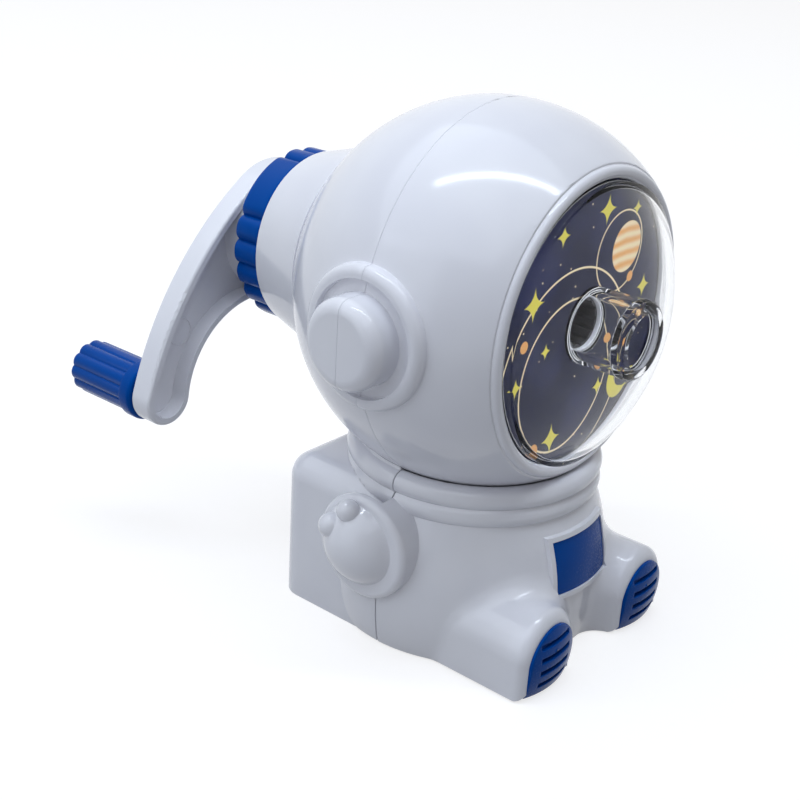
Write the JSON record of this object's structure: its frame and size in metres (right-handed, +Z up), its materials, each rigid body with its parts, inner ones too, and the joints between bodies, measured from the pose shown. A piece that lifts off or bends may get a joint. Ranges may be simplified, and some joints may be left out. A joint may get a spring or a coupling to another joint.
{
  "type": "crank pencil sharpener",
  "caption": "Desk pencil sharpener shaped as a small sitting astronaut: round helmet with clear visor and pencil tube, crank at the back, pull-out shavings drawer.",
  "frame": {"origin": "on the desk, in the plane of the base face, straight under the centre of the helmet", "axes": "+Z up; +Y along the pencil axis towards the crank, so the figure looks along -Y; +X to the figure's left"},
  "size_m": [0.092, 0.1219, 0.111],
  "materials": {
    "white_shell": "glossy white moulded plastic",
    "blue_plastic": "glossy blue moulded plastic",
    "clear_plastic": "clear polished plastic",
    "printed_card": "printed card, navy with small coloured motifs",
    "dark_plastic": "matt dark plastic",
    "steel": "bright zinc-plated and ground steel"
  },
  "bodies": {
    "housing": {"helmet_front": "white_shell", "helmet_rear": "white_shell", "body_rear": "white_shell", "visor": "clear_plastic", "backdrop_card": "printed_card", "pencil_guide": "white_shell", "guide_insert": "dark_plastic", "gear_sleeve": "dark_plastic", "shell_screws": "steel"},
    "drawer": {"drawer": "white_shell", "chest_panel": "blue_plastic", "right_sole": "blue_plastic", "left_sole": "blue_plastic"},
    "lock_ring": {"lock_ring": "blue_plastic"},
    "crank": {"carrier_end_plate": "dark_plastic", "cutter_carrier": "dark_plastic", "cutter_axle": "steel", "axle_clip": "steel", "crank_arm": "white_shell", "crank_screw": "steel", "crank_washer": "steel", "knob_screw": "steel"},
    "cutter": {"helical_cutter": "steel", "cutter_pinion": "dark_plastic"},
    "knob": {"knob": "blue_plastic"}
  },
  "joints": [
    {"name": "crank_spin", "type": "hinge", "parent": "housing", "child": "crank", "pos_m": [0, 0.052, 0.071], "axis": [0, 1, 0], "continuous": true},
    {"name": "cutter_spin", "type": "hinge", "parent": "crank", "child": "cutter", "pos_m": [0, 0.07708, 0.071], "axis": [0, 0.9877, -0.1564], "continuous": true},
    {"name": "knob_spin", "type": "hinge", "parent": "crank", "child": "knob", "pos_m": [-0.0352, 0.075, 0.0386], "axis": [0, 1, 0], "continuous": true},
    {"name": "drawer_slide", "type": "slide", "parent": "housing", "child": "drawer", "axis": [0, -1, 0], "range_m": [0, 0.024]},
    {"name": "lock_ring_twist", "type": "hinge", "parent": "housing", "child": "lock_ring", "pos_m": [0, 0.05, 0.071], "axis": [0, 1, 0], "range_deg": [0, 30]}
  ],
  "couplings": [
    {"joint": "cutter_spin", "follows": "crank_spin", "ratio": -1.9167}
  ]
}
